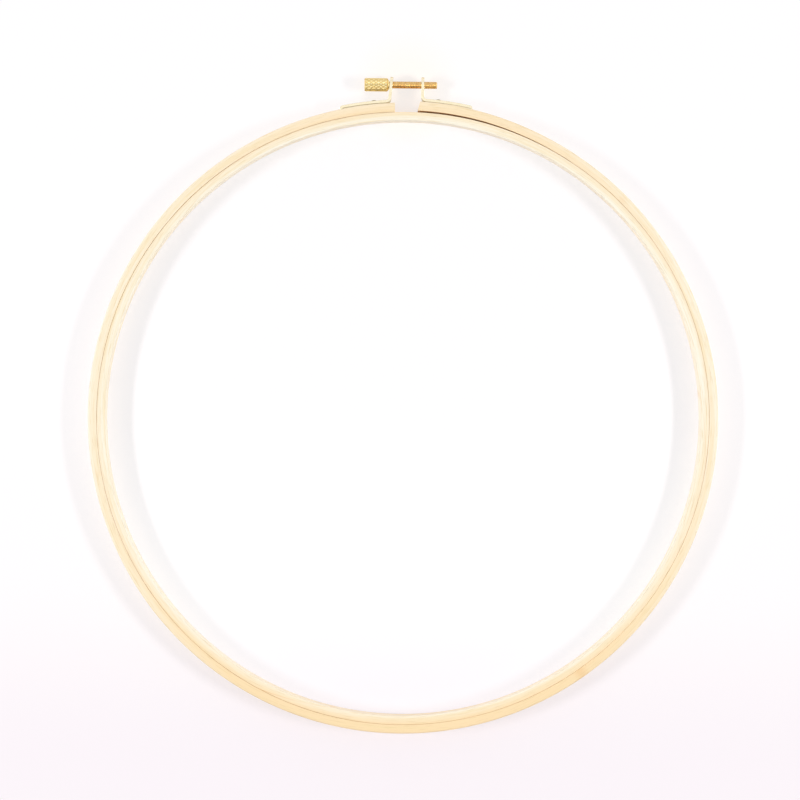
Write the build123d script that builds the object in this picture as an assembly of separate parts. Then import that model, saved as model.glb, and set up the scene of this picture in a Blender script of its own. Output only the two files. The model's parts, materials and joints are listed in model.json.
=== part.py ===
from build123d import *
import math
import os

# An embroidery hoop lies flat. Its centre, at half its height, is the origin,
# +Z is its axis and +Y points to the clamp. Angles go clockwise from +Y, seen from +Z.

# Wooden rings: two bent strips, the outer one a little thicker
inner_ring_outer_diameter = 304.8
inner_ring_wall = 4.2
outer_ring_wall = 4.5
ring_height = 10.0
ring_edge_chamfer = 0.5
ring_clearance = 0.2

# The split in the outer ring
split_width = 11.8
right_end_slant = 15.0

# Towards its right end the outer ring stands off the inner one:
# the strip lifts over this length, half of it flatter and half of it rounder
loose_length = 82.0
loose_lift = 0.75

# Brackets: stamped strip, bent to a lug at one end and a prong at the other
sheet = 1.4
strip_width = 7.8
foot_length = 24.6
foot_clearance = 0.3
lug_spacing = 15.8
left_lug_lean = 5.0
lug_bend_radius = 2.0
prong_bend_radius = 0.9
prong_depth = 1.6
prong_clearance = 0.1

# Rivets, one through each bracket and the strip behind it
rivet_from_lug = 8.0
rivet_shank_diameter = 1.8
rivet_head_diameter = 3.2
rivet_head_height = 0.6
rivet_rim_height = 0.15
clinch_diameter = 2.8
clinch_height = 0.6
clinch_recess = 0.2
rivet_clearance = 0.05

# Thumb screw: knurled head, short neck and threaded shaft, turned in one piece
screw_offset = 9.3
thread_diameter = 3.5
shaft_reach = 6.4
shaft_chamfer = 0.4
neck_diameter = 4.8
neck_length = 0.6
neck_clearance = 0.1
head_diameter = 6.7
head_length = 11.7
head_chamfer = 0.5
plain_hole_clearance = 0.1
tapped_hole_clearance = 0.05

# How far cuts run past the faces that they go through
overrun = 1.0

inner_ring_radius = inner_ring_outer_diameter / 2
bore_radius = inner_ring_radius - inner_ring_wall
seat_radius = inner_ring_radius + ring_clearance
rim_radius = seat_radius + outer_ring_wall
screw_y = rim_radius + screw_offset


def outwards(angle):
    """The level direction at an angle, clockwise from +Y."""
    return Vector(math.sin(angle), math.cos(angle), 0)


def onwards(angle):
    """The clockwise tangent at an angle."""
    return Vector(math.cos(angle), -math.sin(angle), 0)


def strip_stretch(centre, inner_radius, wall, start, turn):
    """A stretch of bent strip with eased edges, clockwise from start through turn."""
    across = Plane(origin=centre, x_dir=outwards(start), z_dir=onwards(start))
    section = chamfer(Rectangle(wall, ring_height).vertices(), ring_edge_chamfer)
    placed = across * Pos(inner_radius + wall / 2, 0) * section
    return revolve(placed, Axis(centre, (0, 0, -1)), revolution_arc=math.degrees(turn))


# The loose stretch at the right end is two arcs that meet in line. The first is
# flatter than the hoop and the second is rounder by as much.
half_loose = loose_length / 2
bend_change = loose_lift / half_loose**2
flat_radius = 1 / (1 / seat_radius - bend_change)
round_radius = 1 / (1 / seat_radius + bend_change)
loose_start = (split_width / 2 + loose_length) / seat_radius
flat_turn = half_loose / flat_radius
loose_middle = loose_start - flat_turn
hoop_centre = Vector(0, 0, 0)
flat_centre = hoop_centre - outwards(loose_start) * (flat_radius - seat_radius)
round_centre = flat_centre + outwards(loose_middle) * (flat_radius - round_radius)


def split_cutter():
    """The space between the ring's ends: cut square on the left, slanting on the right."""
    low = seat_radius - overrun
    high = rim_radius + loose_lift + overrun
    middle = (seat_radius + rim_radius) / 2
    slant = math.tan(math.radians(right_end_slant))
    half = split_width / 2
    corners = [
        (-half, low),
        (half + (low - middle) * slant, low),
        (half + (high - middle) * slant, high),
        (-half, high),
    ]
    outline = make_face(Polyline(*corners, close=True))
    return extrude(outline, amount=ring_height / 2 + overrun, both=True)


def make_inner_ring():
    return strip_stretch(hoop_centre, bore_radius, inner_ring_wall, 0, 2 * math.pi)


class Seat:
    """Where a bracket sits: the arc that it lies on, and how far its lug leans.
    Both are worked out on the right, and the left one is mirrored."""

    def __init__(self, centre, surface_radius, lean, mirrored):
        self.centre = centre
        self.inner_radius = surface_radius - outer_ring_wall
        self.outer_radius = surface_radius
        self.lean = math.radians(lean)
        self.mirrored = mirrored
        self.middle = surface_radius + foot_clearance + sheet / 2
        self.screw_point = Vector(lug_spacing / 2, screw_y, 0)
        self.lug_up = Vector(-math.sin(self.lean), math.cos(self.lean), 0)
        self.lug_across = Vector(math.cos(self.lean), math.sin(self.lean), 0)

    def bend_centre(self):
        """Centre of the bend that touches both the lug's middle line and the foot's."""
        from_centre = self.screw_point + self.lug_across * lug_bend_radius - self.centre
        reach = self.middle + lug_bend_radius
        along = from_centre.dot(self.lug_up)
        off_line = from_centre.length**2 - along**2
        return self.centre + from_centre + self.lug_up * (math.sqrt(reach**2 - off_line) - along)

    def angle_of(self, point):
        offset = point - self.centre
        return math.atan2(offset.X, offset.Y)

    def lug_angle(self):
        return self.angle_of(self.bend_centre() - self.lug_across * lug_bend_radius)

    def tip_angle(self):
        return self.lug_angle() + (foot_length - prong_bend_radius) / self.middle

    def rivet_plane(self):
        """On the rivet's axis at the foot's outer face, looking outwards."""
        angle = self.lug_angle() + rivet_from_lug / self.middle
        face = self.centre + outwards(angle) * (self.middle + sheet / 2)
        return Plane(origin=face, x_dir=onwards(angle), z_dir=outwards(angle))

    def place(self, shape):
        return mirror(shape, about=Plane.YZ) if self.mirrored else shape


left_seat = Seat(hoop_centre, rim_radius, left_lug_lean, mirrored=True)
right_seat = Seat(round_centre, round_radius + outer_ring_wall, 0, mirrored=False)


def prong_plane(seat):
    """At the prong's root, on the foot's middle line, with x along the foot."""
    angle = seat.tip_angle()
    root = seat.centre + outwards(angle) * (seat.middle - prong_bend_radius)
    return Plane(
        origin=root + onwards(angle) * prong_bend_radius, x_dir=onwards(angle), z_dir=-outwards(angle)
    )


def prong_length(seat):
    """From the end of the prong's bend to its end in the wood."""
    return seat.middle - prong_bend_radius - seat.outer_radius + prong_depth


def prong_slot(seat):
    """The slot that the prong is pressed into."""
    root = prong_plane(seat)
    width = sheet + 2 * prong_clearance
    height = strip_width + 2 * prong_clearance
    slot = extrude(root * Rectangle(width, height), amount=prong_length(seat) + prong_clearance)
    above = extrude(root * Rectangle(width, height), amount=-overrun)
    return seat.place(slot + above)


def rivet_hole(seat):
    """A hole through the strip, with a wider recess on the inside for the clinched end."""
    axis = seat.rivet_plane()
    to_floor = seat.middle + sheet / 2 - seat.inner_radius - clinch_recess - clinch_height
    wide_radius = clinch_diameter / 2 + rivet_clearance
    through = extrude(
        axis * Circle(rivet_shank_diameter / 2 + rivet_clearance),
        amount=-(sheet + foot_clearance + outer_ring_wall + overrun),
    )
    floor = axis.offset(rivet_clearance - to_floor)
    recess = extrude(floor * Circle(wide_radius), amount=-(clinch_height + clinch_recess + overrun))
    return seat.place(through + recess)


def make_outer_ring():
    """One bent strip, open at the top, drilled and slotted for its two brackets."""
    wall = outer_ring_wall
    ring = strip_stretch(hoop_centre, seat_radius, wall, loose_start, 2 * math.pi - loose_start)
    ring += strip_stretch(flat_centre, flat_radius, wall, loose_middle, flat_turn)
    ring += strip_stretch(round_centre, round_radius, wall, 0, loose_middle)
    ring -= split_cutter()
    for seat in (left_seat, right_seat):
        ring -= rivet_hole(seat)
        ring -= prong_slot(seat)
    return ring


def make_bracket(seat, hole_clearance):
    """Strip bent along one line: lug, bend, foot along the ring, and prong into it."""
    bend = seat.bend_centre()
    lug_foot = bend - seat.lug_across * lug_bend_radius
    start = seat.angle_of(bend)
    tip = seat.tip_angle()
    foot_start = seat.centre + outwards(start) * seat.middle
    foot_middle = seat.centre + outwards((start + tip) / 2) * seat.middle
    foot_end = seat.centre + outwards(tip) * seat.middle
    into_corner = (lug_foot - bend + foot_start - bend).normalized()
    root = prong_plane(seat)
    prong_bend = foot_end - outwards(tip) * prong_bend_radius
    round_tip = (outwards(tip) + onwards(tip)).normalized()
    line = Wire(
        [
            Edge.make_line(seat.screw_point, lug_foot),
            Edge.make_three_point_arc(lug_foot, bend + into_corner * lug_bend_radius, foot_start),
            Edge.make_three_point_arc(foot_start, foot_middle, foot_end),
            Edge.make_three_point_arc(foot_end, prong_bend + round_tip * prong_bend_radius, root.origin),
            Edge.make_line(root.origin, root.origin + root.z_dir * prong_length(seat)),
        ]
    )
    across_lug = Plane(origin=seat.screw_point, x_dir=seat.lug_across, z_dir=-seat.lug_up)
    strip = sweep(across_lug * Rectangle(sheet, strip_width), path=line)
    lug_face = Plane(origin=seat.screw_point, z_dir=seat.lug_across)
    strip += extrude(lug_face * Circle(strip_width / 2), amount=sheet / 2, both=True)
    screw_hole = Plane(origin=seat.screw_point, z_dir=(1, 0, 0)) * Circle(
        thread_diameter / 2 + hole_clearance
    )
    strip -= extrude(screw_hole, amount=sheet + overrun, both=True)
    rivet_bore = seat.rivet_plane() * Circle(rivet_shank_diameter / 2 + rivet_clearance)
    strip -= extrude(rivet_bore, amount=sheet + overrun, both=True)
    return seat.place(strip)


def make_rivet(seat):
    """Domed head on the foot, shank through foot and wood, clinched end in the recess."""
    head = rivet_head_diameter / 2
    shank = rivet_shank_diameter / 2
    clinch = clinch_diameter / 2
    foot_to_inside = seat.middle + sheet / 2 - seat.inner_radius
    clinch_end = clinch_recess - foot_to_inside
    clinch_top = clinch_end + clinch_height
    side = [
        (head, rivet_rim_height),
        (head, 0),
        (shank, 0),
        (shank, clinch_top),
        (clinch, clinch_top),
        (clinch, clinch_end + clinch_height / 2),
        (shank, clinch_end),
        (0, clinch_end),
        (0, rivet_head_height),
    ]
    dome = ThreePointArc(
        (0, rivet_head_height),
        (
            head * math.sin(math.pi / 4),
            rivet_rim_height + (rivet_head_height - rivet_rim_height) * math.cos(math.pi / 4),
        ),
        (head, rivet_rim_height),
    )
    half = Plane.XZ * make_face(Curve() + Polyline(*side) + dome)
    rivet = revolve(half, Axis.Z)
    return seat.place(seat.rivet_plane().location * rivet)


def make_thumb_screw():
    """Turned about the line that goes through both lugs, with its head on the left."""
    lug_face = lug_spacing / 2 + sheet / 2
    lean_room = neck_diameter / 2 * math.tan(math.radians(left_lug_lean))
    neck_end = -(lug_face + lean_room + neck_clearance)
    head_end = neck_end - neck_length
    head_start = head_end - head_length
    tip = lug_face + shaft_reach
    head = head_diameter / 2
    thread = thread_diameter / 2
    outline = [
        (head_start, 0),
        (head_start, head - head_chamfer),
        (head_start + head_chamfer, head),
        (head_end - head_chamfer, head),
        (head_end, head - head_chamfer),
        (head_end, neck_diameter / 2),
        (neck_end, neck_diameter / 2),
        (neck_end, thread),
        (tip - shaft_chamfer, thread),
        (tip, thread - shaft_chamfer),
        (tip, 0),
    ]
    screw = revolve(make_face(Polyline(*outline, close=True)), Axis.X)
    return Pos(0, screw_y, 0) * screw


pieces = {
    "inner_ring": make_inner_ring(),
    "outer_ring": make_outer_ring(),
    "bracket_left": make_bracket(left_seat, plain_hole_clearance),
    "bracket_right": make_bracket(right_seat, tapped_hole_clearance),
    "rivet_left": make_rivet(left_seat),
    "rivet_right": make_rivet(right_seat),
    "thumb_screw": make_thumb_screw(),
}

os.makedirs("parts", exist_ok=True)
for name, piece in pieces.items():
    export_step(piece, f"parts/{name}.step")
    size = piece.bounding_box()
    print(f"{name}: {piece.volume:.1f} mm3, {size.min} to {size.max}")
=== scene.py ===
# %% [markdown]
# # A round embroidery hoop
# A hoop holds cloth tight for needlework. It has two rings of bent bamboo strip: the inner one is closed,
# and the outer one is split at the top, where two bent brass brackets and a thumb screw draw it tight.
#
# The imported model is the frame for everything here: +Z is the hoop's axis, +Y points to the clamp, the
# origin is the hoop's centre at half its height, and lengths are in metres. Pieces that look right as they
# are packed stay. Pieces that need a finer shape are made here at the same place and replace them.

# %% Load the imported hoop
import json
import math

import bmesh
import bpy
from mathutils import Matrix, Vector
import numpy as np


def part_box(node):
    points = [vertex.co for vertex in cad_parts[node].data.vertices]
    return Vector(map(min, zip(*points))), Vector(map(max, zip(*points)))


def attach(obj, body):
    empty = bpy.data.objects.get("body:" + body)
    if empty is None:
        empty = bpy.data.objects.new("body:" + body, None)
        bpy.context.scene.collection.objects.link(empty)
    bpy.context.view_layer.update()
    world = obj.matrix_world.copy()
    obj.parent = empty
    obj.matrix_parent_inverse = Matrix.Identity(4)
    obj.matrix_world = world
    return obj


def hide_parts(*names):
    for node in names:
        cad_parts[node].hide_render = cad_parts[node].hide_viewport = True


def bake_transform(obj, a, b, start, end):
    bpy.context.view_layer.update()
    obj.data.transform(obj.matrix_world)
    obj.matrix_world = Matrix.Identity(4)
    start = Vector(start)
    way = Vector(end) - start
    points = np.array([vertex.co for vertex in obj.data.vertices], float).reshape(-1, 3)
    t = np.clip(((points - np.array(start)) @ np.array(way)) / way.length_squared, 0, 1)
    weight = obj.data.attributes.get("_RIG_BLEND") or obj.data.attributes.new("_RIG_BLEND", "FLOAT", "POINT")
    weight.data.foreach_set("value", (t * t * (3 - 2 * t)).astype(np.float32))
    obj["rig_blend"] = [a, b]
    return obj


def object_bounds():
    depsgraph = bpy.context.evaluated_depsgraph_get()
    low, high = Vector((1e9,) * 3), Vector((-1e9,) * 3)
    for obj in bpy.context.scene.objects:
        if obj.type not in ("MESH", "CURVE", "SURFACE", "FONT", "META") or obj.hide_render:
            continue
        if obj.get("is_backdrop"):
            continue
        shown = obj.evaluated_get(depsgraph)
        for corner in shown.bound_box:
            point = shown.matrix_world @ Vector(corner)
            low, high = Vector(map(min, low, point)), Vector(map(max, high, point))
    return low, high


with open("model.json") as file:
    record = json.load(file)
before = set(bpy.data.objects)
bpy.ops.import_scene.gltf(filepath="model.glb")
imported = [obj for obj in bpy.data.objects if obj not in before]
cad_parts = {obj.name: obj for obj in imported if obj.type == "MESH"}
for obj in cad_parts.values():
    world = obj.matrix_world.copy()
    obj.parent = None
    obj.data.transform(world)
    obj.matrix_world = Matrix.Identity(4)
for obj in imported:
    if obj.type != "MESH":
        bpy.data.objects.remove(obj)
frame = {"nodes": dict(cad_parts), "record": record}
cad_box = [list(corner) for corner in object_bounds()]
MM = 0.001
print("nodes:", sorted(frame["nodes"]))

# %% [markdown]
# ## The sizes
# The rings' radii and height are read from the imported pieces, so nothing here can drift from them. What a
# box can't say, such as where the outer ring lifts off the inner one, is repeated from the model's source.

# %% Read the rings' sizes
_, inner_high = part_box("inner_ring")
outer_low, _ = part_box("outer_ring")
bore_radius = next(m["dims"]["r_mm"] for m in frame["record"]["mounts"] if m["name"] == "frame_opening") * MM
inner_ring_radius = inner_high.x
inner_wall = inner_ring_radius - bore_radius
seam_width = 0.2 * MM
seat_radius = inner_ring_radius + seam_width
rim_radius = -outer_low.x
outer_wall = rim_radius - seat_radius
half_height = inner_high.z
print(f"bore {bore_radius / MM:.1f}, inner ring {inner_ring_radius / MM:.1f}, rim {rim_radius / MM:.1f} mm")
print(f"walls {inner_wall / MM:.1f} and {outer_wall / MM:.1f}, height {2 * half_height / MM:.1f} mm")

# %% [markdown]
# ## Colours and shader nodes
# A picture program gives a colour as sRGB, where the steps are even to the eye. Light adds up in linear
# values, so each hex value goes through one function on its way to a shader. One more small function adds
# a shader node: its settings by name, and for each input either a value or the output that feeds it.
#
# An input is called by its name or by its place in the node's list. Map Range has its value at 0, the range
# it comes from at 1 and 2, and the range it goes to at 3 and 4, which is 0 to 1 if left out. A colour Mix
# has its share at 0 and its two colours at 6 and 7, and a number Mix its two numbers at 2 and 3.


# %% Two helpers for every material
def linear(code):
    """An sRGB hex value as linear red, green, blue and alpha."""
    shares = [int(code[i : i + 2], 16) / 255 for i in (1, 3, 5)]
    return [s / 12.92 if s <= 0.04045 else ((s + 0.055) / 1.055) ** 2.4 for s in shares] + [1.0]


def add(tree, kind, feeds={}, **settings):
    """Adds a node and returns its outputs."""
    node = tree.nodes.new("ShaderNode" + kind)
    for name, value in settings.items():
        setattr(node, name, value)
    for socket, value in feeds.items():
        if isinstance(value, bpy.types.NodeSocket):
            tree.links.new(value, node.inputs[socket])
        else:
            node.inputs[socket].default_value = value
    return node.outputs


def new_material(name):
    """An empty node material and its tree."""
    material = bpy.data.materials.new(name)
    material.use_nodes = True
    material.node_tree.nodes.clear()
    return material, material.node_tree


print("linear value of a middle grey:", round(linear("#808080")[0], 3))

# %% [markdown]
# ## Where a point lies in the strip
# Bamboo grain runs along the strip, and the strip is bent to a ring. So the grain needs its own
# coordinates: how far along the strip a point is, how far across its wall, and how high. The angle round
# the hoop gives the first and the distance from the axis the second. The cane's solid grain is then
# stretched along the strip, which gives long streaks on the faces and dots on the cut ends, as in cane.
#
# The strip has two ends. On the outer ring they are at the split. On the inner ring they are cut to long
# slants and glued together, so there the start of the coordinate slants across the wall as the joint does.
#
# A last value says which way the surface faces: 1 is outwards from the hoop, -1 is inwards to its axis.


# %% Strip coordinates from the place in the hoop
def strip_coordinates(tree, middle_radius, wall, joint_turn, joint_spread):
    """Outputs for metres along the strip, across it and up, for the place in y and for the facing, and the
    strip's length. The strip starts at joint_turn, clockwise from the clamp, and the joint spreads over
    joint_spread from the outside in."""
    place = add(tree, "TexCoord")["Object"]
    x, y, up = add(tree, "SeparateXYZ", {0: place})
    squares = add(tree, "Math", {0: x, 1: x}, operation="MULTIPLY")[0]
    squares = add(tree, "Math", {0: y, 1: y, 2: squares}, operation="MULTIPLY_ADD")[0]
    radius = add(tree, "Math", {0: squares}, operation="SQRT")[0]
    across = add(tree, "Math", {0: radius, 1: middle_radius}, operation="SUBTRACT")[0]
    angle = add(tree, "Math", {0: x, 1: y}, operation="ARCTAN2")[0]
    slanted = add(tree, "Math", {0: across, 1: -joint_spread / wall, 2: angle}, operation="MULTIPLY_ADD")[0]
    from_joint = add(tree, "Math", {0: slanted, 1: joint_turn}, operation="SUBTRACT")[0]
    turns = add(tree, "Math", {0: from_joint, 1: 2 * math.pi}, operation="DIVIDE")[0]
    share = add(tree, "Math", {0: turns}, operation="FRACT")[0]
    length = 2 * math.pi * middle_radius
    along = add(tree, "Math", {0: share, 1: length}, operation="MULTIPLY")[0]
    level = add(tree, "CombineXYZ", {0: x, 1: y})[0]
    level = add(tree, "VectorMath", {0: level}, operation="NORMALIZE")[0]
    normal = add(tree, "NewGeometry")["Normal"]
    facing = add(tree, "VectorMath", {0: normal, 1: level}, operation="DOT_PRODUCT")[1]
    return along, across, up, y, facing, length


# %% [markdown]
# ## Bamboo, planed and sanded
# The rings are split cane, planed to a flat strip and sanded, with no varnish. That gives a pale straw
# colour, matt but with a slight silk along the fibres. Three sizes of grain make it up: a slow drift of
# tone along the strip, streaks a millimetre or two wide, and fine dark dashes, which are the vessel
# bundles. Real bundles are about 0.3 mm wide. They are drawn 0.5 mm wide, since that is one pixel here.
# Where the cane had a node, a band a few millimetres long is more orange.
#
# The strip is paler at the hoop's sides, warmer near the clamp and warmest opposite it. That is painted
# shade: the lamps stand left and right, so the two ends of the y axis get less of their light. The faces
# that meet in the seam are tinted honey tan, deepest in the last millimetre at their edges. That is
# painted shade too, for the dark, narrow seam, so what light comes back out of the seam is brown.

# %% The grain's sizes and the cane's colours
grain_sizes_mm = {"drift": (160, 7.0), "streak": (60, 1.3), "dash": (9, 0.5)}
grain_detail = 3.0
grain_relief = 0.06 * MM
grain_strength = 0.35
noise_spread = (0.3, 0.7)
grain_ranges = {"streak": (0.42, 0.75), "dash": (0.54, 0.72)}
grain_most = 0.6
drift_swing = 0.8
seam_shade_facing = (0.6, 0.95)
seam_shade_full = 0.5 * MM
seam_shade_fades = 1.2 * MM
seam_shade_middle = 0.5
glue_line = 0.4 * MM
glue_soaked = 2.0 * MM
glue_least = 0.2
sanded_roughness = (0.66, 0.54)
wood_ior = 1.53
cane_colours = {
    "pale": "#FFF8E6",
    "warm": "#FDE1B4",
    "streak": "#F7DFAC",
    "dash": "#E9CD98",
    "stain": "#F0C288",
    # the seam colour is painted shade for the dark line of the seam
    "seam": "#E6A344",
}
print("grain, mm long and wide:", grain_sizes_mm)


# %% The bamboo material
def bamboo(name, inner_face, wall, joint_turn, joint_spread, cane_nodes, seam_side, tone_and_shade_shares):
    """cane_nodes: for each, metres along the strip, half its width and its depth of colour.
    seam_side: 1 where the strip's outer face is in the seam, and -1 where its inner face is.
    tone_and_shade_shares: the warmth at the hoop's sides, what the ends of the y axis add, how much that leans away
    from the clamp, and what the wall adds."""
    material, tree = new_material(name)
    middle_radius = inner_face + wall / 2
    coordinates = strip_coordinates(tree, middle_radius, wall, joint_turn, joint_spread)
    along, across, up, y, facing, length = coordinates
    strip_place = add(tree, "CombineXYZ", {0: along, 1: across, 2: up})[0]
    grains = {}
    for grain, (long_mm, wide_mm) in grain_sizes_mm.items():
        per_metre = [1 / (long_mm * MM), 1 / (wide_mm * MM), 1 / (wide_mm * MM)]
        scaled = add(tree, "VectorMath", {0: strip_place, 1: per_metre}, operation="MULTIPLY")[0]
        feeds = {"Vector": scaled, "Scale": 1.0, "Detail": grain_detail}
        grains[grain] = add(tree, "TexNoise", feeds)[0]
    # Painted shade: warmer towards the clamp and warmest opposite it, where the side lamps give less light
    at_sides, shade_at_ends, lean, over_wall = tone_and_shade_shares
    to_clamp = add(tree, "Math", {0: y, 1: middle_radius}, operation="DIVIDE")[0]
    far = add(tree, "Math", {0: to_clamp, 1: to_clamp}, operation="MULTIPLY")[0]
    far = add(tree, "Math", {0: to_clamp, 1: -lean, 2: far}, operation="MULTIPLY_ADD")[0]
    feeds = {0: grains["drift"], 1: drift_swing, 2: at_sides - drift_swing / 2}
    warmth = add(tree, "Math", feeds, operation="MULTIPLY_ADD")[0]
    feeds = {0: across, 1: over_wall / wall, 2: warmth}
    warmth = add(tree, "Math", feeds, operation="MULTIPLY_ADD")[0]
    feeds = {0: far, 1: shade_at_ends, 2: warmth}
    warmth = add(tree, "Math", feeds, operation="MULTIPLY_ADD", use_clamp=True)[0]
    feeds = {0: warmth, 6: linear(cane_colours["pale"]), 7: linear(cane_colours["warm"])}
    colour = add(tree, "Mix", feeds, data_type="RGBA")[2]
    # Painted shade: the faces in the seam are tinted tan, deepest along their edges, for the dark seam line
    tan = add(tree, "Math", {0: facing, 1: seam_side}, operation="MULTIPLY")[0]
    tan = add(tree, "MapRange", {0: tan, 1: seam_shade_facing[0], 2: seam_shade_facing[1]})[0]
    off_middle = add(tree, "Math", {0: up}, operation="ABSOLUTE")[0]
    feeds = {0: off_middle, 1: half_height - seam_shade_fades, 2: half_height - seam_shade_full, 3: seam_shade_middle}
    seam_shade_at_edges = add(tree, "MapRange", feeds, interpolation_type="SMOOTHSTEP")[0]
    tan = add(tree, "Math", {0: tan, 1: seam_shade_at_edges}, operation="MULTIPLY")[0]
    colour = add(tree, "Mix", {0: tan, 6: colour, 7: linear(cane_colours["seam"])}, data_type="RGBA")[2]
    # Streaks and vessel dashes
    for grain, (few, many) in grain_ranges.items():
        share = add(tree, "MapRange", {0: grains[grain], 1: few, 2: many, 4: grain_most})[0]
        feeds = {0: share, 6: colour, 7: linear(cane_colours[grain])}
        colour = add(tree, "Mix", feeds, data_type="RGBA")[2]
    # Cane nodes: soft bands across the strip
    band = None
    for centre, half_width, depth in cane_nodes:
        off = add(tree, "Math", {0: along, 1: centre}, operation="SUBTRACT")[0]
        off = add(tree, "Math", {0: off}, operation="ABSOLUTE")[0]
        feeds = {0: off, 1: half_width, 2: 0.0, 4: depth}
        here = add(tree, "MapRange", feeds, interpolation_type="SMOOTHSTEP")[0]
        band = here if band is None else add(tree, "Math", {0: band, 1: here}, operation="MAXIMUM")[0]
    stain = linear(cane_colours["stain"])
    colour = add(tree, "Mix", {0: band, 6: colour, 7: stain}, data_type="RGBA")[2]
    # The glued joint: a faint line of glue along the slant, stronger towards the seam
    if joint_spread:
        to_end = add(tree, "Math", {0: length, 1: along}, operation="SUBTRACT")[0]
        nearest = add(tree, "Math", {0: along, 1: to_end}, operation="MINIMUM")[0]
        line = add(tree, "MapRange", {0: nearest, 1: glue_soaked, 2: glue_line})[0]
        at_seam = add(tree, "MapRange", {0: across, 1: 0.0, 2: wall / 2, 3: glue_least})[0]
        line = add(tree, "Math", {0: line, 1: at_seam}, operation="MULTIPLY")[0]
        colour = add(tree, "Mix", {0: line, 6: colour, 7: stain}, data_type="RGBA")[2]
    feeds = {"Height": grains["dash"], "Strength": grain_strength, "Distance": grain_relief}
    relief = add(tree, "Bump", feeds)[0]
    dull, silky = sanded_roughness
    feeds = {0: grains["streak"], 1: noise_spread[0], 2: noise_spread[1], 3: dull, 4: silky}
    roughness = add(tree, "MapRange", feeds)[0]
    feeds = {"Base Color": colour, "Roughness": roughness, "Normal": relief, "IOR": wood_ior}
    surface = add(tree, "BsdfPrincipled", feeds)[0]
    add(tree, "OutputMaterial", {0: surface})
    print(f"{name}: strip {length / MM:.0f} mm long, {len(tree.nodes)} nodes")
    return material


# %% [markdown]
# ## A strip with sanded edges
# Both rings are one thing: a rectangle about 4 by 10 mm with rounded edges, carried round the hoop. A curve
# with a bevel object could do it, but then the cut ends and the seam's small unevenness are out of reach.
# So the mesh is built station by station. Each station places every point of the section itself. Sandpaper
# rounds the outer edge most, the bore's edge less, and hardly reaches the edges in the seam.


# %% The section and the sweep
def rounded_section(wall, inside_edge, outside_edge, steps=4):
    """Points round the strip's section as (distance out from the inner face, height)."""
    points = []
    corners = [
        (inside_edge, inside_edge, -half_height + inside_edge, 180),
        (outside_edge, wall - outside_edge, -half_height + outside_edge, 270),
        (outside_edge, wall - outside_edge, half_height - outside_edge, 0),
        (inside_edge, inside_edge, half_height - inside_edge, 90),
    ]
    for radius, out, high, first in corners:
        for step in range(steps + 1):
            turn = math.radians(first + 90 * step / steps)
            points.append((out + radius * math.cos(turn), high + radius * math.sin(turn)))
    return points


def sweep(name, stations, closed):
    """A mesh through stations, each a list of points round the section."""
    around = len(stations[0])
    points = [point for station in stations for point in station]
    faces = []
    for i in range(len(stations) - (not closed)):
        here, there = i * around, (i + 1) % len(stations) * around
        for j in range(around):
            k = (j + 1) % around
            faces.append((here + j, here + k, there + k, there + j))
    if not closed:
        last = len(points) - around
        faces += [tuple(range(around)), tuple(range(last, last + around))]
    mesh = bpy.data.meshes.new(name)
    mesh.from_pydata(points, [], faces)
    made = bmesh.new()
    made.from_mesh(mesh)
    bmesh.ops.recalc_face_normals(made, faces=made.faces)
    made.to_mesh(mesh)
    made.free()
    mesh.update()
    piece = bpy.data.objects.new(name, mesh)
    bpy.context.scene.collection.objects.link(piece)
    return piece


def smooth_but_sharp(piece, degrees):
    """Shades smoothly, but keeps edges that bend by more than this, and keeps flat faces flat."""
    for face in piece.data.polygons:
        face.use_smooth = True
    piece.data.set_sharp_from_angle(angle=math.radians(degrees))
    normals = piece.modifiers.new("flat faces stay flat", "WEIGHTED_NORMAL")
    normals.keep_sharp = True


def outwards(turn):
    """The level direction at a turn, clockwise from the clamp."""
    return Vector((math.sin(turn), math.cos(turn), 0))


smooth_limit = 35
seam_edge = 0.13 * MM
bore_edge = 0.5 * MM
rim_edge = 0.9 * MM
print("points in a section:", len(rounded_section(inner_wall, bore_edge, seam_edge)))

# %% [markdown]
# ## The inner ring
# The closed ring is nowhere perfectly round, which shows in the seam: it is a hairline that comes and
# goes. A few slow waves of a few hundredths of a millimetre in the ring's outer face do this. The bore
# keeps its radius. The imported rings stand 0.2 mm apart all round, and here each comes 0.06 mm nearer.

# %% The seam's unevenness
seam_fill = 0.06 * MM
seam_waves = [(1, 0.030, 3.72), (3, 0.014, 5.18), (9, 0.008, 4.0), (17, 0.006, 2.2)]


def seam_swell(turn):
    """How far the inner ring's outer face stands out at a turn. Each wave has a count, mm and a shift."""
    waves = sum(size * math.cos(count * turn + shift) for count, size, shift in seam_waves)
    return seam_fill + waves * MM


station_count = 720
swells = [seam_swell(2 * math.pi * i / station_count) / MM for i in range(station_count)]
print(f"the outer face stands out {min(swells):.3f} to {max(swells):.3f} mm")

# %% Build the inner ring
inner_section = rounded_section(inner_wall, bore_edge, seam_edge)
inner_stations = []
for i in range(station_count):
    turn = 2 * math.pi * i / station_count
    swell = seam_swell(turn)
    station = []
    for out, high in inner_section:
        radius = bore_radius + out + swell * out / inner_wall
        station.append(outwards(turn) * radius + Vector((0, 0, high)))
    inner_stations.append(station)
inner_strip = sweep("inner_ring_strip", inner_stations, closed=True)
smooth_but_sharp(inner_strip, smooth_limit)
joint_turn = math.radians(200)
joint_spread = math.radians(14)
inner_nodes = [(0.31, 3 * MM, 0.2), (0.66, 3 * MM, 0.2)]
tone_and_shade_shares = (0.1, 0.33, 0.8, 0.8)
inner_bamboo = bamboo(
    "bamboo_planed_inner", bore_radius, inner_wall, joint_turn, joint_spread, inner_nodes, 1, tone_and_shade_shares
)
inner_strip.data.materials.append(inner_bamboo)
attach(inner_strip, "inner_hoop")
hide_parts("inner_ring")
print(f"inner ring: {len(inner_strip.data.polygons)} faces")

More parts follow.
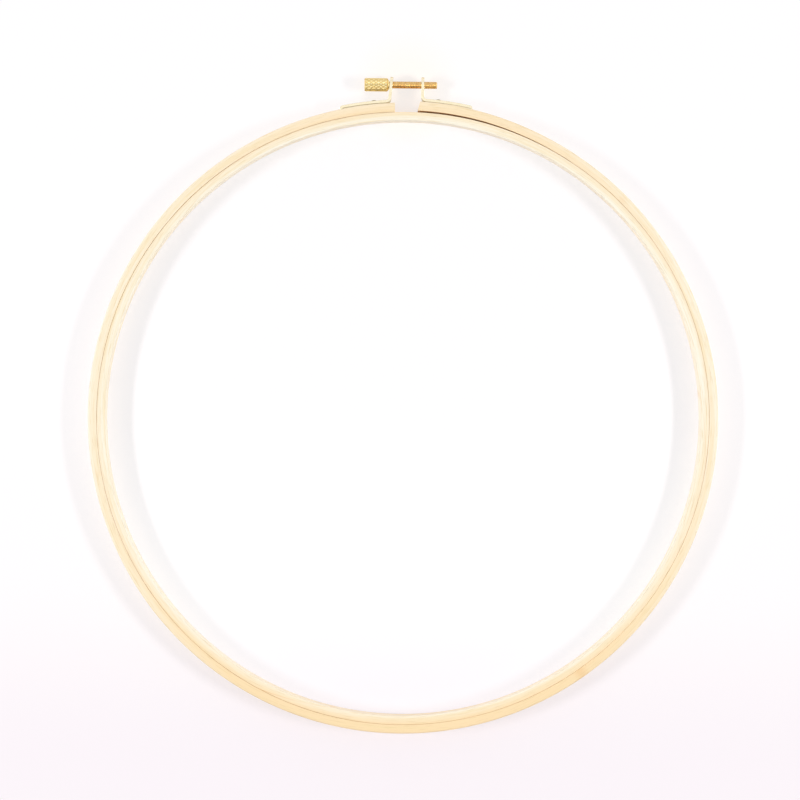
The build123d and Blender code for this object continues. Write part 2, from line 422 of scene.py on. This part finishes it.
# %% [markdown]
# ## The outer ring
# This strip is open at the top. Over its last 82 mm at the right end it lifts off the inner ring, first on
# a flatter arc and then on a rounder one, as in the model's source. The left end is cut square and the
# right end slants. The last station at each end is laid on the plane of the cut, point by point.
#
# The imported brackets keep 0.3 mm off the wood, so that each is a solid of its own. On the real hoop the
# rivets draw them tight, so here the wood's outer face rises most of the way to meet them, and falls back
# before the brackets' ends.

# %% The path of the outer strip
split_half = 5.9 * MM
right_end_slant = math.radians(15)
loose_length = 82 * MM
loose_lift = 0.75 * MM
half_loose = loose_length / 2
bend_change = loose_lift / half_loose**2
flat_radius = 1 / (1 / seat_radius - bend_change)
round_radius = 1 / (1 / seat_radius + bend_change)
loose_start = (split_half + loose_length) / seat_radius
loose_middle = loose_start - half_loose / flat_radius
flat_centre = -outwards(loose_start) * (flat_radius - seat_radius)
round_centre = flat_centre + outwards(loose_middle) * (flat_radius - round_radius)
hoop_centre = Vector((0, 0, 0))


def arc_stations(section, centre, radius, start, end, count):
    """Stations along an arc of the seat, clockwise turns from start to end, the end left out."""
    made = []
    for i in range(count):
        way = outwards(start + (end - start) * i / count)
        made.append([centre + way * (radius + out) + Vector((0, 0, high)) for out, high in section])
    return made


print(f"arcs of {flat_radius / MM:.1f} and {round_radius / MM:.1f} mm")

# %% The strip's two cut ends
outer_section = rounded_section(outer_wall, seam_edge, rim_edge)
outer_seat = seat_radius - seam_fill
left_end = []
for out, high in outer_section:
    turn = -math.asin(split_half / (outer_seat + out))
    left_end.append(outwards(turn) * (outer_seat + out) + Vector((0, 0, high)))
right_end = []
wall_middle = (seat_radius + rim_radius) / 2
for out, high in outer_section:
    reach = round_radius + out
    gap = split_half - round_centre.x + (round_centre.y - wall_middle) * math.tan(right_end_slant)
    turn = right_end_slant + math.asin(gap * math.cos(right_end_slant) / reach)
    right_end.append(round_centre + outwards(turn) * reach + Vector((0, 0, high)))
print(f"split {2 * split_half / MM:.1f} mm wide")

# %% Join the arcs and let the wood meet the brackets
loose_count = 28
seated_count = 640
end_clear = 1.6 * MM / seat_radius
left_turn = 2 * math.pi - split_half / seat_radius - end_clear
right_turn = split_half / seat_radius + end_clear
outer_stations = [right_end]
outer_stations += arc_stations(
    outer_section, round_centre, round_radius, right_turn, loose_middle, loose_count
)
outer_stations += arc_stations(
    outer_section, flat_centre, flat_radius, loose_middle, loose_start, loose_count
)
outer_stations += arc_stations(
    outer_section, hoop_centre, outer_seat, loose_start, left_turn, seated_count
)
outer_stations.append(left_end)
foot_rise = 0.24 * MM
foot_end = 26.4 * MM
foot_fade = 1.6 * MM
for station in outer_stations:
    for point, (out, high) in zip(station, outer_section):
        from_end = seat_radius * abs(math.atan2(point.x, point.y)) - split_half
        under_foot = min(max((foot_end - from_end) / foot_fade, 0), 1)
        level = Vector((point.x, point.y, 0)).normalized()
        point += level * foot_rise * under_foot * out / outer_wall
outer_strip = sweep("outer_ring_strip", outer_stations, closed=False)
print(f"outer strip: {len(outer_stations)} stations, loose from {math.degrees(loose_start):.1f} degrees")

# %% [markdown]
# The sawn ends are only touched with sandpaper, so their edges get a small bevel. The rivets' ends sit in
# recesses on the strip's inner side, which show when the inner ring is out. A drill makes them on the
# real strip, and a Boolean with a cylinder does the same here.

# %% Ease the ends and drill the recesses
end_bevel = 0.2 * MM
shape = bmesh.new()
shape.from_mesh(outer_strip.data)
caps = [face for face in shape.faces if len(face.verts) > 4]
rims = [edge for cap in caps for edge in cap.edges]
bmesh.ops.bevel(shape, geom=rims, offset=end_bevel, segments=2, profile=0.6, affect="EDGES")
shape.to_mesh(outer_strip.data)
shape.free()


def lathe(name, profile, steps=48):
    """Turns a profile of (distance along, radius) about the x axis into a closed mesh."""
    turns = [2 * math.pi * step / steps for step in range(steps)]
    stations = []
    for along, radius in profile:
        stations.append([Vector((along, radius * math.cos(a), radius * math.sin(a))) for a in turns])
    return sweep(name, stations, closed=False)


def combine(piece, tool, operation):
    """Runs a Boolean on piece with tool, and deletes tool."""
    cut = piece.modifiers.new("cut", "BOOLEAN")
    cut.operation = operation
    cut.solver = "EXACT"
    cut.object = tool
    seen = piece.evaluated_get(bpy.context.evaluated_depsgraph_get())
    result = bpy.data.meshes.new_from_object(seen)
    piece.modifiers.remove(cut)
    piece.data = result
    bpy.data.objects.remove(tool)
    return piece


recess_radius = 1.45 * MM
recess_depth = 0.85 * MM
drill_start = -2 * MM
for node, centre, face_radius in [
    ("rivet_left", hoop_centre, seat_radius),
    ("rivet_right", round_centre, round_radius),
]:
    drill = lathe("drill", [(drill_start, recess_radius), (recess_depth, recess_radius)])
    low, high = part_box(node)
    direction = ((low + high) / 2 - centre).normalized()
    turned = direction.to_track_quat("X", "Z").to_matrix().to_4x4()
    drill.matrix_world = Matrix.Translation(centre + direction * face_radius) @ turned
    bpy.context.view_layer.update()
    combine(outer_strip, drill, "DIFFERENCE")
smooth_but_sharp(outer_strip, smooth_limit)
outer_nodes = [(0.390, 5 * MM, 0.45), (0.12, 3 * MM, 0.15), (0.7, 3 * MM, 0.1)]
tone_and_shade_shares = (0.24, 0.75, 0.3, -0.35)
outer_bamboo = bamboo(
    "bamboo_planed_outer", seat_radius, outer_wall, 0.0, 0.0, outer_nodes, -1, tone_and_shade_shares
)
outer_strip.data.materials.clear()
outer_strip.data.materials.append(outer_bamboo)
print(f"outer ring: {len(outer_strip.data.polygons)} faces")

# %% [markdown]
# When the screw is slackened, the right half of the outer ring springs open and its left half stays. The
# left half would go along, because it is as near to the clamp, so its share is set back to none.

# %% Let the right half follow the clamp
full_move_y = seat_radius * 0.9
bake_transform(outer_strip, "outer_hoop", "clamp_end", start=(0, -seat_radius, 0), end=(0, full_move_y, 0))
shares = outer_strip.data.attributes["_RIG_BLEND"].data
for share, vertex in zip(shares, outer_strip.data.vertices):
    if vertex.co.x < 0:
        share.value = 0.0
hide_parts("outer_ring")
print("points that follow the clamp fully:", sum(share.value > 0.999 for share in shares))

# %% [markdown]
# ## Brass
# All the metal is brass. The brackets are stamped from strip and plated bright, so they are the palest.
# The screw is turned from bar and left as cut: its knurled head is yellow, and its threaded shaft has the
# redder tone of fresh cuts. All are smooth metal with fine marks: rolling lines on the strip, and rings from
# the lathe on the screw. A metal keeps the default IOR.
#
# Real brass loses some of its yellow where it turns away from the eye, which the edge tint gives. Hands
# polish the crests of the knurl and the thread, and tarnish stays in the grooves. The distance from the
# screw's axis tells the two apart. It is taken only down to the grooves' roots, because the head's turned
# ends, which reach further in, stay clean.

# %% The sizes of the marks, the tone and the tarnish
marks_detail = 2.0
marks_strength = 0.3
tone_size = 3 * MM
tone_range = (0.4, 0.7)
root_clean = 0.15 * MM
root_soiled = 0.08 * MM
roughness_swing = 0.2
print(f"the tone changes over about {tone_size / MM:.0f} mm")


# %% The brass materials
def brass(name, colour, deep, edge_tint, roughness, mark_size_mm, mark_depth_mm, grooves=None):
    """Brass with marks of these sizes along x, y and z, and a slow change of tone.
    edge_tint: the tint where the surface turns away from the eye.
    grooves: the distances from the screw's axis where tarnish starts and is full, and its colour."""
    material, tree = new_material(name)
    place = add(tree, "TexCoord")["Object"]
    per_metre = [1 / (size * MM) for size in mark_size_mm]
    scaled = add(tree, "VectorMath", {0: place, 1: per_metre}, operation="MULTIPLY")[0]
    marks = add(tree, "TexNoise", {"Vector": scaled, "Scale": 1.0, "Detail": marks_detail})[0]
    tone = add(tree, "TexNoise", {"Vector": place, "Scale": 1 / tone_size, "Detail": marks_detail})[0]
    tone = add(tree, "MapRange", {0: tone, 1: tone_range[0], 2: tone_range[1]})[0]
    mixed = add(tree, "Mix", {0: tone, 6: linear(colour), 7: linear(deep)}, data_type="RGBA")[2]
    if grooves:
        crest, root, tarnish = grooves
        from_axis = add(tree, "VectorMath", {0: place, 1: (0, -screw_y, 0)})[0]
        from_axis = add(tree, "VectorMath", {0: from_axis, 1: (0, 1, 1)}, operation="MULTIPLY")[0]
        from_axis = add(tree, "VectorMath", {0: from_axis}, operation="LENGTH")[1]
        sunk = add(tree, "MapRange", {0: from_axis, 1: crest, 2: root})[0]
        in_groove = add(tree, "MapRange", {0: from_axis, 1: root - root_clean, 2: root - root_soiled})[0]
        sunk = add(tree, "Math", {0: sunk, 1: in_groove}, operation="MULTIPLY")[0]
        mixed = add(tree, "Mix", {0: sunk, 6: mixed, 7: linear(tarnish)}, data_type="RGBA")[2]
    feeds = {0: marks, 1: noise_spread[0], 2: noise_spread[1]}
    feeds[3] = roughness * (1 - roughness_swing)
    feeds[4] = roughness * (1 + roughness_swing)
    rough = add(tree, "MapRange", feeds)[0]
    feeds = {"Height": marks, "Strength": marks_strength, "Distance": mark_depth_mm * MM}
    relief = add(tree, "Bump", feeds)[0]
    feeds = {"Base Color": mixed, "Metallic": 1.0, "Roughness": rough, "Normal": relief}
    feeds["Specular Tint"] = linear(edge_tint)
    surface = add(tree, "BsdfPrincipled", feeds)[0]
    add(tree, "OutputMaterial", {0: surface})
    print(f"{name}: roughness about {roughness}")
    return material


# %% Four kinds of brass
screw_low, screw_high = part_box("thumb_screw")
screw_y = (screw_low.y + screw_high.y) / 2
head_radius = (screw_high.z - screw_low.z) / 2
thread_radius = 1.75 * MM
head_grooves = (head_radius - 0.06 * MM, head_radius - 0.2 * MM, "#E4C67E")
shaft_grooves = (thread_radius - 0.05 * MM, thread_radius - 0.2 * MM, "#E0AE5E")
plated_brass = brass(
    "brass_plated_strip", "#FFF3D4", "#FCEFCB", edge_tint="#C4BDA0", roughness=0.2,
    mark_size_mm=(2.0, 2.0, 0.2), mark_depth_mm=0.01,
)
# Painted shade: the rivets' brass is made much darker than the rest, for the shade at each small rivet head
rivet_brass_dark_as_shade = brass(
    "brass_headed_rivet", "#A08A58", "#7F6B42", edge_tint="#C4BDA0", roughness=0.3,
    mark_size_mm=(0.4, 0.4, 0.4), mark_depth_mm=0.01,
)
knurled_brass = brass(
    "brass_knurled", "#FFEEBA", "#FFE8A8", edge_tint="#BEB28C", roughness=0.36,
    mark_size_mm=(0.12, 2.0, 2.0), mark_depth_mm=0.01, grooves=head_grooves,
)
turned_brass = brass(
    "brass_turned", "#FFE3A2", "#F9D58E", edge_tint="#A8813F", roughness=0.26,
    mark_size_mm=(0.3, 9.0, 9.0), mark_depth_mm=0.005, grooves=shaft_grooves,
)

# %% [markdown]
# ## The brackets and rivets
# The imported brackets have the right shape: a lug with a round top, a bend, a foot along the ring and a
# prong in the wood. A stamped edge is never knife-sharp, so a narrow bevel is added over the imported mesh.
# Its faces are many slim triangles, and shading that runs over them as they are leaves dark wedges round
# the rivets. Weighted normals follow the large faces, so the strip stays even.

# %% Finish the brackets and rivets
stamped_edge = 0.12 * MM
bevel_from = math.radians(40)
for node, material in [
    ("bracket_left", plated_brass),
    ("bracket_right", plated_brass),
    ("rivet_left", rivet_brass_dark_as_shade),
    ("rivet_right", rivet_brass_dark_as_shade),
]:
    piece = frame["nodes"][node]
    piece.material_slots[0].material = material
    weld = piece.modifiers.new("one skin", "WELD")
    weld.merge_threshold = 0.001 * MM
    if node.startswith("bracket"):
        bevel = piece.modifiers.new("stamped edge", "BEVEL")
        bevel.width = stamped_edge
        bevel.segments = 2
        bevel.limit_method = "ANGLE"
        bevel.angle_limit = bevel_from
        even = piece.modifiers.new("even normals", "WEIGHTED_NORMAL")
        even.weight = 100
        even.keep_sharp = True
    print(node, len(piece.data.polygons), "faces")

# %% [markdown]
# ## The thumb screw
# The screw is turned in one piece. Its head has a diamond knurl: two wheels press 12 slanting grooves
# each way into the bar, and what stays up is a row of small pyramids with blunt tops. The mesh is laid
# out as the knurl is: pits where two grooves cross, and a blunt top in the middle of each diamond. The bar
# is made too long and too thick, and trimmed against a turned blank, as on the lathe.

# %% The knurl's sizes
head_length = 11.7 * MM
head_chamfer = 0.5 * MM
head_start = screw_low.x
head_end = head_start + head_length
tip = screw_high.x
knurl_starts = 12
knurl_depth = 0.2 * MM
knurl_slope = math.radians(36)
diamond_width = 2 * math.pi * head_radius / knurl_starts
row_step = diamond_width / math.tan(knurl_slope) / 2
blunt = 0.3
spare_rows = 4
over = 0.05 * MM
print(f"knurl: diamonds {diamond_width / MM:.2f} by {2 * row_step / MM:.2f} mm")


# %% The knurled head
def bar_from(shape, name):
    """Closes a bar's open ends and makes it an object."""
    bmesh.ops.holes_fill(shape, edges=[edge for edge in shape.edges if edge.is_boundary])
    bmesh.ops.recalc_face_normals(shape, faces=shape.faces)
    mesh = bpy.data.meshes.new(name)
    shape.to_mesh(mesh)
    shape.free()
    bar = bpy.data.objects.new(name, mesh)
    bpy.context.scene.collection.objects.link(bar)
    return bar


def knurled_bar(name, start, end):
    """A bar along x with a diamond knurl, a little longer at both ends."""
    rows = math.ceil((end - start) / row_step) + spare_rows
    first = (start + end) / 2 - rows * row_step / 2
    column = math.pi / knurl_starts
    shape = bmesh.new()

    def put(row, turn, radius):
        angle = turn * column
        return shape.verts.new((first + row * row_step, radius * math.cos(angle), radius * math.sin(angle)))

    columns = 2 * knurl_starts
    pits = {
        (row, turn): put(row, turn, head_radius - knurl_depth)
        for row in range(rows + 1)
        for turn in range(columns)
        if (row + turn) % 2 == 0
    }
    for row in range(1, rows):
        for turn in range(columns):
            if (row + turn) % 2 == 0:
                continue
            sides = [
                pits[row, (turn - 1) % columns],
                pits[row - 1, turn],
                pits[row, (turn + 1) % columns],
                pits[row + 1, turn],
            ]
            tops = [
                put(row, turn - blunt, head_radius),
                put(row - blunt, turn, head_radius),
                put(row, turn + blunt, head_radius),
                put(row + blunt, turn, head_radius),
            ]
            shape.faces.new(tops)
            for i in range(4):
                k = (i + 1) % 4
                shape.faces.new((sides[i], sides[k], tops[k], tops[i]))
    return bar_from(shape, name)


head_blank = lathe("head_blank", [
    (head_start, head_radius - head_chamfer),
    (head_start + head_chamfer + over, head_radius + over),
    (head_end - head_chamfer - over, head_radius + over),
    (head_end, head_radius - head_chamfer),
], steps=64)
thumb_screw = combine(knurled_bar("thumb_screw_turned", head_start, head_end), head_blank, "INTERSECT")
print(f"knurled head: {len(thumb_screw.data.polygons)} faces")

# %% [markdown]
# The shaft has an M3.5 thread: pitch 0.6 mm, grooves 0.2 mm deep, their crests worn flat. A plain cylinder
# with lines drawn on it would give that away at its edge, so the groove is a real helix. Neighbouring turns
# share their points, and the ends are trimmed against a turned blank as the head's are.

# %% The thread's sizes
pitch = 0.6 * MM
thread_depth = 0.2 * MM
neck_radius = 2.4 * MM
neck_length = 0.6 * MM
shaft_chamfer = 0.4 * MM
thread_form = [(0.0, 1.0), (0.06, 1.0), (0.28, 0.0), (0.78, 0.0)]
thread_steps = 40
spare_turns = 3
print(f"thread: {(tip - head_end) / pitch:.0f} turns of {pitch / MM:.1f} mm")


# %% The threaded shaft
def threaded_bar(name, start, end):
    """A right-hand thread along x, a little longer at both ends. The form gives each point of a turn as its
    share of the pitch and of the depth."""
    turns = math.ceil((end - start) / pitch) + spare_turns
    first = (start + end) / 2 - turns * pitch / 2
    count = turns * thread_steps
    shape = bmesh.new()
    points = []
    for step in range(count + 1):
        angle = 2 * math.pi * step / thread_steps
        row = []
        for share, sunk in thread_form:
            radius = thread_radius - sunk * thread_depth
            along = first + pitch * (step / thread_steps + share)
            row.append(shape.verts.new((along, radius * math.cos(angle), radius * math.sin(angle))))
        points.append(row)
    for step in range(count):
        here, there = points[step], points[step + 1]
        for k in range(len(thread_form) - 1):
            shape.faces.new((here[k], there[k], there[k + 1], here[k + 1]))
        next_turn = step + thread_steps
        if next_turn + 1 <= count:
            shape.faces.new((here[-1], there[-1], points[next_turn + 1][0], points[next_turn][0]))
    return bar_from(shape, name)


shaft_start = head_end + neck_length
shaft_blank = lathe("shaft_blank", [
    (head_end - over, thread_radius + over),
    (tip - shaft_chamfer, thread_radius + over),
    (tip, thread_radius - shaft_chamfer),
])
shaft = combine(threaded_bar("shaft", head_end, tip), shaft_blank, "INTERSECT")
neck = lathe("neck", [(head_end - over, neck_radius), (shaft_start, neck_radius)])
combine(thumb_screw, neck, "UNION")
combine(thumb_screw, shaft, "UNION")
thumb_screw.data.transform(Matrix.Translation((0, screw_y, 0)))
print(f"screw: {len(thumb_screw.data.polygons)} faces, tip at {tip / MM:.1f} mm")

# %% [markdown]
# The knurl and the shaft each have their own brass. The head's chamfers, its ends and the neck are turned,
# as the shaft is. They are the faces that look along the screw. The knurl's faces stay flat.

# %% Give the screw its two finishes
looks_along = 0.6
screw_sharp = math.radians(25)
thumb_screw.data.materials.clear()
thumb_screw.data.materials.append(knurled_brass)
thumb_screw.data.materials.append(turned_brass)
for face in thumb_screw.data.polygons:
    on_shaft = face.center.x > shaft_start + over
    face.material_index = int(on_shaft or abs(face.normal.x) > looks_along)
    face.use_smooth = on_shaft
thumb_screw.data.set_sharp_from_angle(angle=screw_sharp)
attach(thumb_screw, "screw")
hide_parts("thumb_screw")
turned_faces = sum(face.material_index for face in thumb_screw.data.polygons)
print(f"thumb screw: {turned_faces} of {len(thumb_screw.data.polygons)} faces are turned brass")

# %% [markdown]
# ## The floor and the light
# The hoop lies on white paper. Two wide soft lamps, far left and far right and about 35 degrees up, give
# the double shadow: each side of the ring throws a band inwards and a fainter one outwards, and both fade
# at the top and bottom, where the light runs along the strip. The lamps are wide and low, so the clamp's
# small parts hardly throw a shadow. A pale surround fills the rest.
#
# The photograph's paper is lit to almost pure white. More light would bleach the wood, so the paper's own
# material is lighter to the camera than it is to the light: more than half of it glows, and the rest takes
# the shadow. The shadow is deeper inside the hoop than outside, except at the end opposite the clamp, where
# the glow is dimmer and pinker, which is painted shade. Round the clamp the paper's own colour is tinted
# warm, towards the brass's colour: a painted reflection of the light that the brass and wood throw onto it.

# %% Who sees the glow, and the paper's colours
def seen_or_mirrored(tree):
    """The light path's outputs, and 1 for a ray from the camera or by way of polished metal or glass."""
    path = add(tree, "LightPath")
    feeds = {0: path["Is Camera Ray"], 1: path["Is Glossy Ray"]}
    direct = add(tree, "Math", feeds, operation="MAXIMUM")[0]
    feeds = {0: direct, 1: path["Is Transmission Ray"]}
    return path, add(tree, "Math", feeds, operation="MAXIMUM")[0]


paper_radius = 7
paper_corners = 96
shadow_fades = (0.32, 0.9)
whitens = (0.26, 0.6)
end_band = (-0.175, -0.075)
inside_reach = (-0.14, 0.0)
inside_shares = (0.3, 0.48)
outside_reach = (-0.14, 0.03)
outside_shares = (0.45, 0.3)
clamp_reach = (0.012, 0.03)
glow_inside = (1.07, 1.085, 1.085, 1)
glow_outside = (1.05, 1.04, 1.045, 1)
dimmed_glow_at_end = (0.97, 0.925, 0.98, 1)
matt_colour = (0.97, 0.9, 0.92, 1)
matt_with_painted_bounce = (1.0, 0.86, 0.72, 1)
print("shares of shadow inside:", inside_shares, "outside:", outside_shares)

# %% Paper floor
floor_z = -half_height
bpy.ops.mesh.primitive_circle_add(
    vertices=paper_corners, radius=paper_radius, fill_type="NGON", location=(0, 0, floor_z)
)
floor = bpy.context.object
floor.name = "paper_floor"
paper, tree = new_material("paper_white")
place = add(tree, "TexCoord")["Object"]
far_off = add(tree, "VectorMath", {0: place}, operation="LENGTH")[1]
_, floor_y, _ = add(tree, "SeparateXYZ", {0: place})
outside = add(tree, "MapRange", {0: far_off, 1: bore_radius, 2: rim_radius})[0]
feeds = {0: floor_y, 1: inside_reach[0], 2: inside_reach[1], 3: inside_shares[0], 4: inside_shares[1]}
inside_share = add(tree, "MapRange", feeds)[0]
feeds = {0: floor_y, 1: outside_reach[0], 2: outside_reach[1], 3: outside_shares[0], 4: outside_shares[1]}
outside_share = add(tree, "MapRange", feeds, interpolation_type="SMOOTHSTEP")[0]
near_share = add(tree, "Mix", {0: outside, 2: inside_share, 3: outside_share}, data_type="FLOAT")[0]
feeds = {0: far_off, 1: shadow_fades[0], 2: shadow_fades[1], 3: 1.0, 4: 0.0}
far_share = add(tree, "MapRange", feeds)[0]
shadow_share = add(tree, "Math", {0: near_share, 1: far_share}, operation="MULTIPLY")[0]
# Painted shade: towards the end opposite the clamp the glow turns dimmer and pinker
feeds = {0: floor_y, 1: end_band[0], 2: end_band[1]}
light_end = add(tree, "MapRange", feeds, interpolation_type="SMOOTHSTEP")[0]
feeds = {0: outside, 6: glow_inside, 7: glow_outside}
lit_glow = add(tree, "Mix", feeds, data_type="RGBA")[2]
feeds = {0: light_end, 6: dimmed_glow_at_end, 7: lit_glow}
near_glow = add(tree, "Mix", feeds, data_type="RGBA")[2]
away = add(tree, "MapRange", {0: far_off, 1: whitens[0], 2: whitens[1]})[0]
glow_colour = add(tree, "Mix", {0: away, 6: near_glow, 7: (1, 1, 1, 1)}, data_type="RGBA")[2]
glow = add(tree, "Emission", {0: glow_colour, 1: 1.0})[0]
# Painted reflection: round the clamp the paper's colour turns warm, for light thrown onto it by the brass
# and wood
from_clamp = add(tree, "VectorMath", {0: place, 1: (0, screw_y, 0)}, operation="DISTANCE")[1]
near_clamp = add(tree, "MapRange", {0: from_clamp, 1: clamp_reach[1], 2: clamp_reach[0]})[0]
feeds = {0: near_clamp, 6: matt_colour, 7: matt_with_painted_bounce}
matt = add(tree, "BsdfDiffuse", {0: add(tree, "Mix", feeds, data_type="RGBA")[2]})[0]
seen = add(tree, "MixShader", {0: shadow_share, 1: glow, 2: matt})[0]
_, direct = seen_or_mirrored(tree)
both = add(tree, "MixShader", {0: direct, 1: matt, 2: seen})[0]
add(tree, "OutputMaterial", {0: both})
floor.data.materials.append(paper)
floor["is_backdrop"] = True
print("floor at z =", round(floor_z, 4))

# %% [markdown]
# The surround is white overhead. Metal shows what it faces, and in an all-white room polished brass would
# look like yellow paint. So reflections find a room that is a little grey all round and dark on one side,
# the one away from the clamp. The dark reaches well above the horizon, and just over the floor it gives
# way to a pale grey, since the floor lights the walls from below. Only reflections see this. The soft fill
# light comes more from both ends of the y axis, most of all from the clamp's, as from a window there.

# %% Pale surround
fill_strength = 0.32
fill_lean = 0.28
fill_ends = 0.45
dim_heights = (0.95, 0.55)
dim_sides = (-0.4, -0.85)
dim_elsewhere = 0.12
floor_lights_to = 0.4
dim_at_floor = 0.25
dimmest = 0.08
world = bpy.data.worlds.new("pale_surround")
bpy.context.scene.world = world
world.use_nodes = True
tree = world.node_tree
tree.nodes.clear()
path, direct = seen_or_mirrored(tree)
_, towards_clamp, upwards = add(tree, "SeparateXYZ", {0: add(tree, "TexCoord")["Generated"]})
feeds = {0: towards_clamp, 1: fill_ends, 2: fill_lean}
leaning = add(tree, "Math", feeds, operation="MULTIPLY_ADD")[0]
feeds = {0: towards_clamp, 1: leaning, 2: fill_strength}
leaning = add(tree, "Math", feeds, operation="MULTIPLY_ADD")[0]
fill = add(tree, "Background", {0: (1, 1, 1, 1), 1: leaning})[0]
feeds = {0: upwards, 1: dim_heights[0], 2: dim_heights[1]}
low = add(tree, "MapRange", feeds, interpolation_type="SMOOTHSTEP")[0]
near = add(tree, "MapRange", {0: towards_clamp, 1: dim_sides[0], 2: dim_sides[1], 3: dim_elsewhere})[0]
above_floor = add(tree, "MapRange", {0: upwards, 1: 0.0, 2: floor_lights_to, 3: dim_at_floor})[0]
dim = add(tree, "Math", {0: low, 1: near}, operation="MULTIPLY")[0]
dim = add(tree, "Math", {0: dim, 1: above_floor}, operation="MULTIPLY")[0]
room = add(tree, "MapRange", {0: dim, 3: 1.0, 4: dimmest})[0]
feeds = {0: path["Is Camera Ray"], 2: room, 3: 1.0}
strength = add(tree, "Mix", feeds, data_type="FLOAT")[0]
white = add(tree, "Background", {0: (1, 1, 1, 1), 1: strength})[0]
shown = add(tree, "MixShader", {0: direct, 1: fill, 2: white})[0]
add(tree, "OutputWorld", {0: shown})
print("surround fills at", fill_strength)

# %% Two soft lamps
lamp_out = 2.2
lamp_up = 1.56
lamp_aside = -0.2
lamp_height = 0.28
lamp_width = 1.1
lamp_power = 37
for side, name in [(-1, "lamp_left"), (1, "lamp_right")]:
    light = bpy.data.lights.new(name, "AREA")
    light.shape = "ELLIPSE"
    light.size = lamp_width
    light.size_y = lamp_height
    light.energy = lamp_power
    lamp = bpy.data.objects.new(name, light)
    lamp.location = (side * lamp_out, lamp_aside, lamp_up)
    lamp.rotation_euler = (-lamp.location).to_track_quat("-Z", "Y").to_euler()
    bpy.context.scene.collection.objects.link(lamp)
print(f"lamps {math.degrees(math.atan2(lamp_up, lamp_out)):.0f} degrees up")

# %% [markdown]
# ## The camera
# The photograph looks straight down from about 1.3 m. One pixel of its 800 is 0.498 mm at the top of the
# rings, which sets the focal length. The hoop's centre lies a little right of and below the picture's
# centre, and the clamp is turned 0.7 degrees clockwise, so the camera moves and turns the other way.

# %% Set the camera
picture_pixels = 800
millimetres_per_pixel = 0.4976
camera_height = 1.3
sensor_mm = 36
camera_turn = math.radians(0.7)
right = Vector((math.cos(camera_turn), math.sin(camera_turn), 0))
above = Vector((-math.sin(camera_turn), math.cos(camera_turn), 0))
hoop_right_pixels = 2.95
hoop_below_pixels = 18.3
hoop_right = hoop_right_pixels * millimetres_per_pixel * MM
hoop_below = hoop_below_pixels * millimetres_per_pixel * MM
lens = bpy.data.cameras.new("camera")
lens.sensor_width = sensor_mm
lens.lens = sensor_mm * camera_height / (picture_pixels * millimetres_per_pixel * MM)
camera = bpy.data.objects.new("camera", lens)
camera.location = above * hoop_below - right * hoop_right + Vector((0, 0, half_height + camera_height))
camera.rotation_euler = (0, 0, camera_turn)
bpy.context.scene.collection.objects.link(camera)
bpy.context.scene.camera = camera
bpy.context.scene.view_settings.view_transform = "Standard"
print(f"lens {lens.lens:.1f} mm")

# %% [markdown]
# ## Check the size and finish
# The dressed hoop has to fill the same box as the imported one, so both boxes are measured and the largest
# difference between them is printed.

# %% Compare both boxes and finish
seen_box = [list(corner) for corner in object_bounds()]
pairs = [pair for one, two in zip(cad_box, seen_box) for pair in zip(one, two)]
print(f"largest difference of the boxes: {max(abs(a - b) for a, b in pairs) / MM:.3f} mm")
